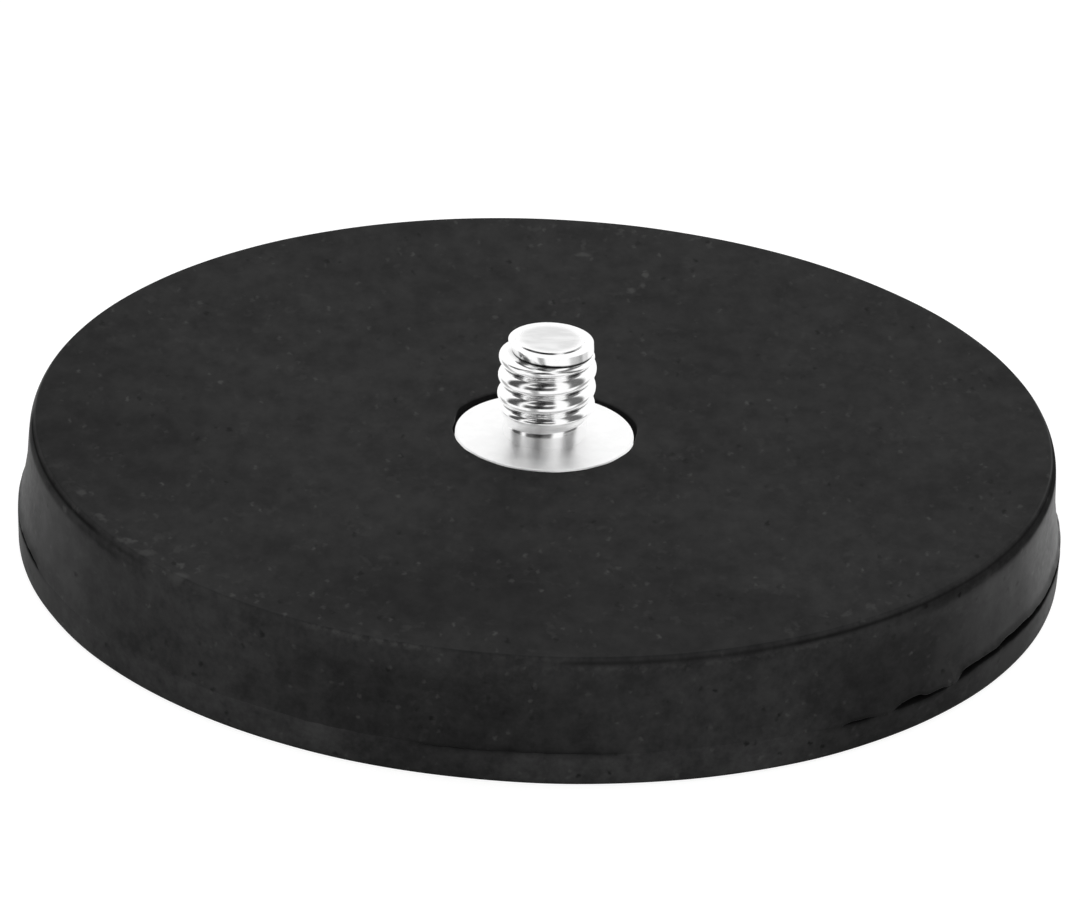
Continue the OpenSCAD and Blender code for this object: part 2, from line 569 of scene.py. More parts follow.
def cover_wall(angles, lip_r, lip_z):
    """Rings of the cover from its cavity out to the lip, up the wall and over the top edge."""
    lean = math.degrees(COVER_DRAFT)
    sine, cosine = math.sin(COVER_DRAFT), math.cos(COVER_DRAFT)
    lip_centre = (BODY_R + SEAM_SWELL - lip_r * (1 + sine) / cosine, lip_z + lip_r)
    inner_r = BODY_R - SEAM_REACH
    edge_w = top_edge_width(angles)
    uneven = WALL_WAVE * ripple(angles, 4, 30, seed=20)

    rings = [(PLATE_R + CAVITY_GAP, SEAM_Z), (inner_r, SEAM_Z)]
    rings += between((inner_r, SEAM_Z), (lip_centre[0], lip_z), SEAM_FACE_ROWS)
    rings += arc_rings(*lip_centre, lip_r, -90, lean, LIP_ROWS)
    wall_z = rings[-1][1]
    for share in shares(COVER_WALL_ROWS):
        height = wall_z + (TOP_EDGE_Z - wall_z) * share
        rings.append((wall_radius(height) + uneven, height))
    for turn in np.radians(np.linspace(0, 90, TOP_EDGE_ROWS + 1)[1:]):
        height = TOP_EDGE_Z + TOP_EDGE_H * math.sin(turn)
        rings.append((wall_radius(height) - edge_w * (1 - math.cos(turn)), height))
    return rings


def cover_top(angles):
    """Rings of the cover from its top edge in to the hole, down through it and back to the cavity."""
    opening = arc_mask(angles, HOLE_WIDE, HOLE_SOFTNESS) + HOLE_WAVE * ripple(angles, 3, 25, seed=15)
    hole_r = FLANGE_R + HOLE_CLOSE + (HOLE_APART - HOLE_CLOSE) * opening + STUD_SHIFT * np.cos(angles)
    rim_r = RIM_R * (RIM_CLOSED + (1 - RIM_CLOSED) * opening)
    outer = (wall_radius(TOP_Z) - top_edge_width(angles) - SUPPORT_W, TOP_Z)
    inner = (hole_r + rim_r + SUPPORT_W, TOP_Z)

    rings = [outer] + between(outer, inner, TOP_ROWS) + [inner]
    rings += arc_rings(hole_r + rim_r, TOP_Z - rim_r, rim_r, 90, 180, HOLE_RIM_ROWS)
    return rings + [(hole_r, PLATE_TOP_Z), (PLATE_R + CAVITY_GAP, PLATE_TOP_Z)]


def make_cover():
    """Upper moulding: drafted wall, flat top and the hole for the stud's flange."""
    angles = full_circle(RUBBER_STEPS)
    opened, line_z = seam_shape(angles)
    lip_r = lip_radius(opened)
    lip_z = line_z + SEAM_GAP * opened
    made = revolve("cover_moulding", angles, cover_wall(angles, lip_r, lip_z) + cover_top(angles), "joined")
    mark_cover(made, angles, opened, lip_r, lip_z)
    return made


def wall_tone_and_light(turn, height):
    """Lightness of the side wall with its painted light, whose stretches of painted shade fade out towards
    the top edge.
    """
    depth = smooth_step((TOP_Z - WALL_DARK_TOP - height) / WALL_DARK_FADE)
    return WALL_TONE_AND_LIGHT - arc_mask(turn, WALL_DARK, WALL_DARK_SOFTNESS) * depth


def top_tone_and_light(radius, turn):
    """Lightness of the top face with its patches of painted light and shade."""
    x, y = radius * np.cos(turn), radius * np.sin(turn)
    tone_and_light = np.ones_like(radius)
    for middle_x, middle_y, reach_x, reach_y, change in TOP_PATCHES:
        tone_and_light += change * np.exp(-((x - middle_x) / reach_x) ** 2 - ((y - middle_y) / reach_y) ** 2)
    return tone_and_light


def edge_band(height, drop, width):
    """Soft band around the cover, from 0 to 1, at this drop below the top face."""
    return np.exp(-((height - TOP_Z + drop) / width) ** 2)


def mark_cover(made, angles, opened, lip_r, lip_z):
    """Stores the cover's rubbed edges with painted highlights, its lightness with painted light and shade,
    its painted shade, gloss and scuffs.
    """
    radius, turn, height = vertex_table(made)
    corner_r = wall_radius(TOP_Z)
    rows = len(radius) // RUBBER_STEPS
    on_top = smooth_step((corner_r - radius - ON_TOP_INSET) / ON_TOP_FADE) * (height > TOP_EDGE_Z)
    by_edge = radius > corner_r - EDGE_ZONE

    from_edge = np.hypot(radius - corner_r + WORN_INSET, height - TOP_Z + WORN_INSET)
    worn = arc_mask(turn, WORN_EDGE, WORN_SOFTNESS) * np.exp(-(from_edge / WORN_W) ** 2)
    # A painted highlight: a light line under the line of painted shade, stored with the rubbed edge
    below_edge_shade = edge_band(height, LIGHT_LINE_DROP, LIGHT_LINE_W) * by_edge
    highlight_line = arc_mask(turn, HIGHLIGHT_LINES, LIGHT_LINE_SOFTNESS) * below_edge_shade
    set_attribute(made, "wear_and_highlight", np.maximum(worn, highlight_line))

    # Painted light and shade in the tone: the wall lighter than the top, its dark stretches and the top's
    # patches
    tone_and_light = wall_tone_and_light(turn, height) * (1 - on_top) + top_tone_and_light(radius, turn) * on_top
    set_attribute(made, "tone_and_light", tone_and_light)

    # Painted shade: dark lines under the edge, dark edges, the inside of the open seam, the wall beside the
    # seam and the hole's inside
    edge_shade = edge_band(height, SHADED_EDGE_DROP, SHADED_EDGE_W) * by_edge
    edge_shade = arc_mask(turn, SHADED_EDGES, SHADED_EDGE_SOFTNESS) * edge_shade
    banded = edge_band(height, DARK_EDGE_DROP, DARK_EDGE_W) * by_edge
    edge_shade = np.maximum(edge_shade, arc_mask(turn, DARK_EDGES, DARK_EDGE_SOFTNESS) * banded)
    under_lip = np.tile(lip_z + GAP_START * lip_r, rows) - height
    in_gap = GAP_DARKNESS * np.tile(opened, rows) * smooth_step(under_lip / GAP_FADE)
    in_gap = np.maximum(in_gap, seam_shade(angles, opened, lip_z, height, rows))
    in_hole = smooth_step((TOP_Z - HOLE_DARK_DROP - height) / HOLE_DARK_FADE) * (radius < PLATE_R / 2)
    set_attribute(made, "painted_shade", np.maximum(edge_shade, np.maximum(np.clip(in_gap, 0, 1), in_hole)))

    at_edge = smooth_step((height - TOP_Z + DULL_EDGE_H) / DULL_EDGE_FADE)
    at_edge = at_edge * smooth_step((TOP_Z - height) / DULL_TOP_FADE)
    dull = arc_mask(turn, DULL_EDGE, DULL_EDGE_SOFTNESS) * at_edge
    dull = np.maximum(dull, arc_mask(turn, DULL_WALL, DULL_WALL_SOFTNESS) * (1 - on_top))
    glossy = arc_mask(turn, GLOSSY_WALL, GLOSSY_SOFTNESS) * (1 - on_top)
    set_attribute(made, "gloss", (1 - dull) * (1 + glossy))

    near_edge = np.exp(-((radius - corner_r + SCUFF_INSET) / SCUFF_W) ** 2)
    set_attribute(made, "scuff", arc_mask(turn, SCUFFED, SCUFF_SOFTNESS) * near_edge * on_top)


def base_rings(angles, lip_r, line_z):
    """Rings of the base from the bottom face out to the foot, up the band, over the lip and up the boss."""
    lean = math.degrees(BASE_DRAFT)
    sine, cosine = math.sin(BASE_DRAFT), math.cos(BASE_DRAFT)
    lip_centre = (BODY_R + SEAM_SWELL - lip_r * (1 + sine) / cosine, line_z - lip_r)
    foot_r = FOOT_EDGE_R * (1 + FOOT_EDGE_WAVE * ripple(angles, 3, 30, seed=31))
    corner_r = BODY_R + SEAM_SWELL - SEAM_Z * math.tan(BASE_DRAFT)
    foot_centre = (corner_r - foot_r * (1 - sine) / cosine, foot_r)
    boss_r = PLATE_R
    inner_r = BODY_R - SEAM_REACH

    foot = arc_rings(*foot_centre, foot_r, -90, -lean, FOOT_ROWS)
    lip = arc_rings(*lip_centre, lip_r, -lean, 90, LIP_ROWS)
    rings = [(boss_r / 2, 0.0), (boss_r, 0.0), (foot_centre[0] - SUPPORT_W, 0.0)] + foot
    for number, (radius, height) in enumerate(between(foot[-1], lip[0], BASE_WALL_ROWS)):
        uneven = WALL_WAVE * ripple(angles, 4, 30, seed=40 + number // ROWS_PER_WAVE)
        rings.append((radius + uneven, height))
    rings += lip
    rings += between((lip_centre[0], line_z), (inner_r, SEAM_Z), SEAM_FACE_ROWS)
    return rings + [(inner_r, SEAM_Z), (boss_r, SEAM_Z), (boss_r, PLATE_Z)]


def make_base():
    """Lower moulding: the pad with its band, and the raised boss that holds the magnets in pockets."""
    angles = full_circle(RUBBER_STEPS)
    opened, line_z = seam_shape(angles)
    lip_r = lip_radius(opened)
    rings = base_rings(angles, lip_r, line_z)
    made = revolve("base_moulding", angles, rings, "open")
    fill_boss(made)
    mark_base(made, angles, opened, lip_r, line_z, len(rings))
    return made


def mark_base(made, angles, opened, lip_r, line_z, rows):
    """Stores the base's lightness with painted light and shade, its gloss, and the painted shade at the seam.
    The rows of its rings come before its other vertices.
    """
    radius, turn, height = vertex_table(made)
    band_tone_and_light = BASE_TONE_AND_LIGHT * (1 - arc_mask(turn, BASE_DARK, BASE_DARK_SOFTNESS))
    on_band = smooth_step(height / BAND_FADE)
    set_attribute(made, "tone_and_light", 1 + (WALL_TONE_AND_LIGHT * band_tone_and_light - 1) * on_band)

    band_gloss = BASE_GLOSS * smooth_step((height - BAND_GLOSS_Z) / BAND_GLOSS_FADE)
    set_attribute(made, "gloss", band_gloss * (1 - arc_mask(turn, DULL_WALL, DULL_WALL_SOFTNESS)))

    # Painted shade inside the open seam and on the band beside it
    ringed = rows * RUBBER_STEPS
    over_lip = height[:ringed] - np.tile(line_z - GAP_START * lip_r, rows)
    in_gap = np.zeros_like(radius)
    in_gap[:ringed] = np.maximum(
        np.tile(GAP_DARKNESS * opened, rows) * smooth_step(over_lip / GAP_FADE),
        seam_shade(angles, opened, line_z, height[:ringed], rows),
    )
    set_attribute(made, "painted_shade", np.clip(in_gap, 0, 1))


def fill_boss(made):
    """Closes the open top of the boss with a face that has a round pocket over every magnet."""
    work = bmesh.new()
    work.from_mesh(made.data)
    outline = [edge for edge in work.edges if edge.is_boundary]
    for node in magnet_nodes:
        low, high = box_mm(node)
        middle = (low + high) / 2
        pocket_r = (high[0] - low[0]) / 2 + POCKET_GAP
        place = Matrix.Translation(Vector((middle[0], middle[1], PLATE_Z)) * MM)
        ring = bmesh.ops.create_circle(work, segments=POCKET_STEPS, radius=pocket_r * MM, matrix=place)
        mouth = list({edge for vertex in ring["verts"] for edge in vertex.link_edges})
        outline += mouth
        wall = bmesh.ops.extrude_edge_only(work, edges=mouth)["geom"]
        corners = {item for item in wall if isinstance(item, bmesh.types.BMVert)}
        edges = [item for item in wall if isinstance(item, bmesh.types.BMEdge)]
        foot = [edge for edge in edges if corners.issuperset(edge.verts)]
        bmesh.ops.translate(work, verts=list(corners), vec=(0, 0, (low[2] - PLATE_Z) * MM))
        bmesh.ops.edgeloop_fill(work, edges=foot)
    bmesh.ops.triangle_fill(work, use_beauty=True, edges=outline, normal=(0, 0, 1))
    bmesh.ops.recalc_face_normals(work, faces=work.faces)
    work.to_mesh(made.data)
    work.free()
    smooth(made.data)


# Stud. Its rings are (radius, height, darkness of the line of painted shade there)

def plain(rings):
    """Rings without a line of painted shade."""
    return [(radius, height, 0.0) for radius, height in rings]


def thread_form():
    """Depth of the thread below its crest, from 0 to 1, over one pitch that starts at a crest."""
    along = np.arange(THREAD_SAMPLES) / THREAD_SAMPLES
    away = np.minimum(along, 1 - along) * PITCH
    crest_r = ((PITCH / 2) ** 2 + THREAD_DEPTH ** 2) / (2 * THREAD_DEPTH)
    depth = crest_r - np.sqrt(crest_r ** 2 - away ** 2)
    kernel = np.exp(-((away / NOTCH_SOFT) ** 2) / 2)
    rounded = np.real(np.fft.ifft(np.fft.fft(depth) * np.fft.fft(kernel / kernel.sum())))
    rounded = (rounded - rounded.min()) / (rounded.max() - rounded.min())
    return np.append(along, 1.0), np.append(rounded, rounded[0])


def flange_rings():
    """Rings of the riveted spigot and of the flange, in to the neck."""
    edge_r = FLANGE_R - FLANGE_EDGE_R
    rings = [
        (SPIGOT_R / 2, PLATE_Z),
        (SPIGOT_R + RIVET_FLARE, PLATE_Z),
        (SPIGOT_R, PLATE_Z + RIVET_FLARE),
        (SPIGOT_R, PLATE_TOP_Z),
        (FLANGE_R, PLATE_TOP_Z),
    ]
    rings += arc_rings(edge_r, FLANGE_Z - FLANGE_EDGE_R, FLANGE_EDGE_R, 0, 90, FLANGE_EDGE_ROWS)
    for radius in np.linspace(edge_r - FLANGE_SUPPORT_W, NECK_R, FLANGE_ROWS):
        rings.append((radius, FLANGE_Z))
    return plain(rings)


def shank_rings(angles):
    """Rings of the neck and of the right-hand thread that grows out of it."""
    along, depth = thread_form()
    turns = angles / (2 * math.pi)
    notch_lines = arc_mask(angles, NOTCH_LINES, NOTCH_LINE_SOFTNESS)
    rings = []
    for height in np.append(np.arange(FLANGE_Z + SHANK_STEP, SHANK_TOP_Z, SHANK_STEP), SHANK_TOP_Z):
        above = height - FLANGE_Z
        rolled = smooth_step((above - ROLL_START) / ROLL_FADE)
        ridges = NECK_DEPTH * smooth_step((above - RIDGE_START) / RIDGE_FADE)
        groove = ridges + (THREAD_DEPTH - NECK_DEPTH) * rolled
        rise = (height - GROOVE_Z) / PITCH - turns
        share = np.interp((rise + 0.5) % 1.0, along, depth)
        cut = TOP_TURN_CUT * smooth_step((height - SHANK_TOP_Z + TOP_TURN_H) / TOP_TURN_FADE)
        blank = NECK_R + (THREAD_R - NECK_R) * rolled - cut
        # A line of painted shade in the notch of the thread
        line = notch_lines * rolled * smooth_step((share - NOTCH_LINE_FROM) / NOTCH_LINE_FADE)
        rings.append((blank - groove * share, height, line))
    return rings


def end_rings(angles):
    """Rings of the free end: the groove, the flared rim, the ledge, the step and the face."""
    relief_lines = arc_mask(angles, RELIEF_LINES, RELIEF_LINE_SOFTNESS)
    step_lines = arc_mask(angles, STEP_LINES, STEP_LINE_SOFTNESS)
    foot_r = RIM_FOOT_R + RIM_FOOT_SHIFT * np.cos(angles)
    edge_r = EDGE_R + EDGE_SHIFT_X * np.cos(angles) + EDGE_SHIFT_Y * np.sin(angles)
    face_r = FACE_R + FACE_SHIFT * np.cos(angles)
    rim_z = END_Z - RIM_H
    ledge_z = END_Z - EDGE_DROP + BEVEL_H

    rings = [
        (foot_r - RELIEF_DEPTH, rim_z - RELIEF_WALL * RELIEF_H, relief_lines),
        (foot_r - RELIEF_DEPTH, rim_z, relief_lines),
        (foot_r, rim_z, relief_lines),
    ]
    for share in shares(END_RIM_ROWS):
        rings.append((foot_r + (edge_r - foot_r) * share, rim_z + (RIM_H - EDGE_DROP) * share, 0.0))
    outer = (edge_r - BEVEL_W, ledge_z)
    inner = (face_r + LEDGE_GAP, ledge_z + LEDGE_RISE)
    rings += plain([outer] + between(outer, inner, LEDGE_ROWS) + [inner])
    rings += [(face_r + outside, END_Z - drop, step_lines) for outside, drop in STEP_PROFILE]
    return rings + [(face_r - inward, END_Z, 0.0) for inward in FACE_RINGS]


def make_stud():
    """Turned stud: riveted spigot, flange, neck, rolled thread and free end, a little off the centre."""
    angles = full_circle(STUD_STEPS)
    rings = flange_rings() + shank_rings(angles) + end_rings(angles)
    made = revolve("stud_turned", angles, [(radius, height) for radius, height, line in rings], "capped")
    radius, turn, height = vertex_table(made)
    inward = FACE_R + FACE_SHIFT * np.cos(turn) - radius
    end_face = smooth_step((inward - END_FACE_INSET) / END_FACE_FADE) * (height > END_Z - LEVEL_TOLERANCE)
    flange = smooth_step((FLANGE_Z + FLANGE_FADE - height) / FLANGE_FADE)
    lines = [np.broadcast_to(line, STUD_STEPS) for _, _, line in rings]
    poles = [0.0, 0.0]
    set_attribute(made, "end_face", end_face)
    set_attribute(made, "satin", np.maximum(end_face, flange))
    set_attribute(made, "line", np.concatenate(lines + [poles]))
    for vertex in made.data.vertices:
        if vertex.co.z > (PLATE_TOP_Z + LEVEL_TOLERANCE) * MM:
            vertex.co.x += STUD_SHIFT * MM
    return made


# Shader helpers

def add(tree, kind, inputs=None, **settings):
    """Adds a shader node. An input is a constant or another node's output."""
    node = tree.nodes.new(kind)
    for name, value in settings.items():
        setattr(node, name, value)
    for name, value in (inputs or {}).items():
        if isinstance(value, bpy.types.NodeSocket):
            tree.links.new(value, node.inputs[name])
        else:
            node.inputs[name].default_value = value
    return node


def connect(tree, shader, sources):
    """Links outputs to the shader's inputs of these names."""
    for name, source in sources.items():
        tree.links.new(source, shader.inputs[name])


def math_node(tree, operation, first, second=0.0, third=0.0):
    """Output of a sum, product or like operation."""
    return add(tree, "ShaderNodeMath", {0: first, 1: second, 2: third}, operation=operation).outputs[0]


def vector_math(tree, operation, first, second=(0, 0, 0), out="Vector"):
    """Output of an operation on vectors."""
    return add(tree, "ShaderNodeVectorMath", {0: first, 1: second}, operation=operation).outputs[out]


def weighted(tree, parts):
    """Sum of outputs, each times its weight."""
    total = 0.0
    for output, weight in parts:
        total = math_node(tree, "MULTIPLY_ADD", output, weight, total)
    return total


def ramp(tree, value, low, high, out_low=0.0, out_high=1.0, eased=True):
    """Output that goes from out_low to out_high while value goes from low to high."""
    kind = "SMOOTHSTEP" if eased else "LINEAR"
    inputs = {"Value": value, "From Min": low, "From Max": high, "To Min": out_low, "To Max": out_high}
    return add(tree, "ShaderNodeMapRange", inputs, interpolation_type=kind, clamp=True).outputs["Result"]


def attribute(tree, name):
    """Number that the mesh stores under this name."""
    return add(tree, "ShaderNodeAttribute", attribute_name=name).outputs["Fac"]


def mixed(tree, factor, first, second):
    """Colour between two colours."""
    inputs = {"Factor": factor, 6: first, 7: second}
    return add(tree, "ShaderNodeMix", inputs, data_type="RGBA").outputs[2]


def stretched(tree, point, scales):
    """Surface point with its axes scaled, or as it is where there are no scales."""
    if scales is None:
        return point
    return add(tree, "ShaderNodeMapping", {"Vector": point, "Scale": scales}).outputs["Vector"]


def noise(tree, point, scale, detail=3.0, roughness=0.6, stretch=None):
    """Noise value. The scale is in repeats per millimetre."""
    place = stretched(tree, point, stretch)
    inputs = {"Vector": place, "Scale": scale, "Detail": detail, "Roughness": roughness}
    return add(tree, "ShaderNodeTexNoise", inputs).outputs["Fac"]


def warped(tree, point, scale, reach):
    """Surface point pushed about by noise, which makes the outlines of marks irregular."""
    push = add(tree, "ShaderNodeTexNoise", {"Vector": point, "Scale": scale, "Detail": 2.0}).outputs["Color"]
    centred = vector_math(tree, "SUBTRACT", push, (0.5, 0.5, 0.5))
    inputs = {0: centred, 1: (reach, reach, reach), 2: point}
    return add(tree, "ShaderNodeVectorMath", inputs, operation="MULTIPLY_ADD").outputs["Vector"]


def specks(tree, point, scale, size, share, stretch):
    """Mask of scattered spots. size is a spot's radius, and share the part of all cells that has one."""
    cells = add(tree, "ShaderNodeTexVoronoi", {"Vector": stretched(tree, point, stretch), "Scale": scale})
    picked = add(tree, "ShaderNodeSeparateColor", {"Color": cells.outputs["Color"]})
    chosen = math_node(tree, "LESS_THAN", picked.outputs[0], share)
    spot = ramp(tree, cells.outputs["Distance"], low=size * scale, high=size * scale * SPOT_CORE)
    return math_node(tree, "MULTIPLY", spot, chosen)


def new_material(name):
    """Empty material with a Principled shader, and the surface point in millimetres."""
    material = bpy.data.materials.new(name)
    material.use_nodes = True
    tree = material.node_tree
    tree.nodes.clear()
    output = add(tree, "ShaderNodeOutputMaterial")
    shader = add(tree, "ShaderNodeBsdfPrincipled")
    tree.links.new(shader.outputs[0], output.inputs["Surface"])
    coordinates = add(tree, "ShaderNodeTexCoord")
    point = stretched(tree, coordinates.outputs["Object"], (1 / MM,) * 3)
    return material, tree, shader, point


# Rubber

RUBBER_DARK = (0.0159, 0.0159, 0.0161, 1)
RUBBER_LIGHT = (0.0302, 0.0302, 0.0302, 1)
RUBBER_DUST = (0.085, 0.085, 0.083, 1)
RUBBER_WORN_AND_HIGHLIGHT = (0.065, 0.065, 0.064, 1)
RUBBER_PIT_AND_SHADE = (0.006, 0.006, 0.006, 1)
TOP_ROUGHNESS = 0.72
WALL_ROUGHNESS = 0.44
ROUGHNESS_CHANGE = 0.05
RUBBER_SPECULAR = 0.06
RUBBER_BUMP = 0.25
RUBBER_BUMP_H = 0.025

# Stretch of the rubber's grain, and how its large, middle and fine mottling add up
GRAIN_STRETCH = (1, 0.6, 1)
BLOTCH_SHARE = 0.35
CLOUD_SHARE = 0.4
GRAIN_SHARE = 0.25

# How the grain, the fine grain, the light specks and the pits add up in the bumps of the rubber
BUMP_GRAIN = 0.6
BUMP_FINE = 0.3
BUMP_SPECKS = 0.3
BUMP_PITS = -0.4

# Strength of pits and of painted shade, of dust in general and where the edge is scuffed, and the share of a
# spot's radius that is solid
PIT_STRENGTH = 0.75
PAINTED_SHADE_STRENGTH = 0.8
DUST_THIN = 0.12
DUST_SCUFFED = 0.4
SPOT_CORE = 0.2

# Single light marks on the top face, as (x, y, reach in x, reach in y, strength), and the share of their
# reach that is solid
LIGHT_MARKS = [
    (2.0, 26.8, 0.7, 0.5, 0.4),
    (2.0, 28.3, 0.2, 1.2, 0.22),
    (6.1, 24.2, 0.3, 0.6, 0.5),
    (5.9, 22.6, 0.3, 0.6, 0.42),
    (5.2, 21.7, 0.35, 0.6, 0.5),
    (-3.5, 16.7, 0.3, 0.5, 0.35),
    (-28.7, -12.0, 0.4, 0.7, 0.4),
    (-22.2, -23.2, 0.9, 0.7, 0.4),
    (-24.3, -20.2, 0.8, 0.6, 0.32),
]
MARK_CORE = 0.3


def light_marks(tree, point):
    """Mask of the single light marks."""
    mask = 0.0
    for x, y, reach_x, reach_y, strength in LIGHT_MARKS:
        offset = vector_math(tree, "SUBTRACT", point, (x, y, TOP_Z))
        scaled = vector_math(tree, "MULTIPLY", offset, (1 / reach_x, 1 / reach_y, 1))
        away = vector_math(tree, "LENGTH", scaled, out="Value")
        mark = ramp(tree, away, low=1.0, high=MARK_CORE, out_high=strength)
        mask = math_node(tree, "MAXIMUM", mask, mark)
    return mask


def rubber_marks(tree, point, cloud):
    """Masks of the dark pits, of the light specks, and of all light marks with dust and specks."""
    ragged = warped(tree, point, scale=2.5, reach=0.5)
    clumps = ramp(tree, noise(tree, point, scale=0.22, detail=2.0), low=0.42, high=0.6, out_low=0.2)
    pits = specks(tree, ragged, scale=1.0, size=0.25, share=0.55, stretch=(1, 0.45, 1))
    pits = math_node(tree, "MULTIPLY", pits, clumps)
    light = specks(tree, ragged, scale=1.2, size=0.2, share=0.55, stretch=(1, 0.42, 1))
    fading = ramp(tree, cloud, low=0.35, high=0.65, out_low=0.12, out_high=0.5)
    light = math_node(tree, "MULTIPLY", light, fading)
    dust = noise(tree, point, scale=1.4, detail=2.0, roughness=0.5, stretch=(1.0, 0.7, 1.3))
    thickness = math_node(tree, "MULTIPLY", clumps, DUST_THIN)
    thickness = math_node(tree, "MULTIPLY_ADD", attribute(tree, "scuff"), DUST_SCUFFED, thickness)
    dust = math_node(tree, "MULTIPLY", ramp(tree, dust, low=0.56, high=0.72), thickness)
    marks = math_node(tree, "MAXIMUM", light, dust)
    return pits, light, math_node(tree, "MAXIMUM", marks, light_marks(tree, ragged))


def rubber_material():
    """Moulded rubber: matte mottled top, smoother wall, light and dark marks, rubbed edges, painted
    highlights and painted light and shade.
    """
    material, tree, shader, point = new_material("moulded_rubber")
    blotch = noise(tree, point, scale=0.14, detail=4.0)
    cloud = noise(tree, point, scale=0.7, stretch=GRAIN_STRETCH)
    grain = noise(tree, point, scale=2.4, roughness=0.65, stretch=GRAIN_STRETCH)
    fine = noise(tree, point, scale=9.0, detail=2.0)
    pits, light, marks = rubber_marks(tree, point, cloud)
    painted_shade = attribute(tree, "painted_shade")

    mottling = weighted(tree, [(blotch, BLOTCH_SHARE), (cloud, CLOUD_SHARE), (grain, GRAIN_SHARE)])
    mottling = ramp(tree, mottling, low=0.4, high=0.6, eased=False)
    skin = mixed(tree, mottling, RUBBER_DARK, RUBBER_LIGHT)
    # The tone attribute scales the skin and carries painted light and shade
    toned = {0: skin, "Scale": attribute(tree, "tone_and_light")}
    skin = add(tree, "ShaderNodeVectorMath", toned, operation="SCALE").outputs["Vector"]
    skin = mixed(tree, math_node(tree, "MULTIPLY", pits, PIT_STRENGTH), skin, RUBBER_PIT_AND_SHADE)
    skin = mixed(tree, marks, skin, RUBBER_DUST)
    patchy = ramp(tree, noise(tree, point, scale=1.8), low=0.4, high=0.66)
    # worn holds the rubbed edge and also the painted highlight under the line of painted shade
    worn = math_node(tree, "MULTIPLY", attribute(tree, "wear_and_highlight"), patchy)
    skin = mixed(tree, worn, skin, RUBBER_WORN_AND_HIGHLIGHT)
    # Painted shade: the skin darkened towards the pit colour
    skin = mixed(tree, math_node(tree, "MULTIPLY", painted_shade, PAINTED_SHADE_STRENGTH), skin, RUBBER_PIT_AND_SHADE)

    clear = math_node(tree, "SUBTRACT", 1.0, painted_shade)
    gloss = math_node(tree, "MULTIPLY", attribute(tree, "gloss"), clear)
    normal = add(tree, "ShaderNodeTexCoord").outputs["Normal"]
    upward = add(tree, "ShaderNodeSeparateXYZ", {0: normal}).outputs["Z"]
    rough = ramp(tree, upward, low=0.6, high=0.95, out_low=WALL_ROUGHNESS, out_high=TOP_ROUGHNESS)
    change = ramp(tree, grain, 0.3, 0.7, -ROUGHNESS_CHANGE, ROUGHNESS_CHANGE, eased=False)
    relief = weighted(tree, [
        (grain, BUMP_GRAIN),
        (fine, BUMP_FINE),
        (light, BUMP_SPECKS),
        (pits, BUMP_PITS),
    ])
    raised = {"Strength": RUBBER_BUMP, "Distance": RUBBER_BUMP_H * MM, "Height": relief}
    connect(tree, shader, {
        "Base Color": skin,
        "Roughness": math_node(tree, "ADD", rough, change),
        "Normal": add(tree, "ShaderNodeBump", raised).outputs["Normal"],
        "Specular IOR Level": math_node(tree, "MULTIPLY", gloss, RUBBER_SPECULAR),
    })
    return material


# Metals

METAL_DARKER = 0.9
METAL_BUMP = 0.3
PLATING_DARK = (0.95, 0.95, 0.95, 1)
PLATING_LIGHT = (0.99, 0.99, 0.99, 1)
END_DARK = (0.74, 0.74, 0.74, 1)
END_LIGHT = (0.86, 0.86, 0.86, 1)
SHADE_LINE_COLOUR = (0.06, 0.06, 0.06, 1)
PLATING_METALLIC = 0.95
PLATING_ROUGH_LOW = 0.11
PLATING_ROUGH_HIGH = 0.17
SATIN_ROUGH = 0.3
PLATING_BUMP = 0.15
PLATING_BUMP_H = 0.003
TURNING_RINGS = 45.0
TURNING_DEPTH = 0.12


def metal_material(name, colour, rough_low, rough_high, mark_scale, mark_height):
    """Plated metal with uneven gloss and fine marks in its surface."""
    material, tree, shader, point = new_material(name)
    cloud = noise(tree, point, scale=0.9)
    dark = tuple(METAL_DARKER * c for c in colour)
    patches = ramp(tree, cloud, low=0.35, high=0.65)
    marks = noise(tree, point, scale=mark_scale)
    raised = {"Strength": METAL_BUMP, "Distance": mark_height * MM, "Height": marks}
    connect(tree, shader, {
        "Base Color": mixed(tree, patches, dark + (1,), colour + (1,)),
        "Roughness": ramp(tree, cloud, 0.3, 0.7, rough_low, rough_high, eased=False),
        "Normal": add(tree, "ShaderNodeBump", raised).outputs["Normal"],
    })
    shader.inputs["Metallic"].default_value = 1.0
    return material


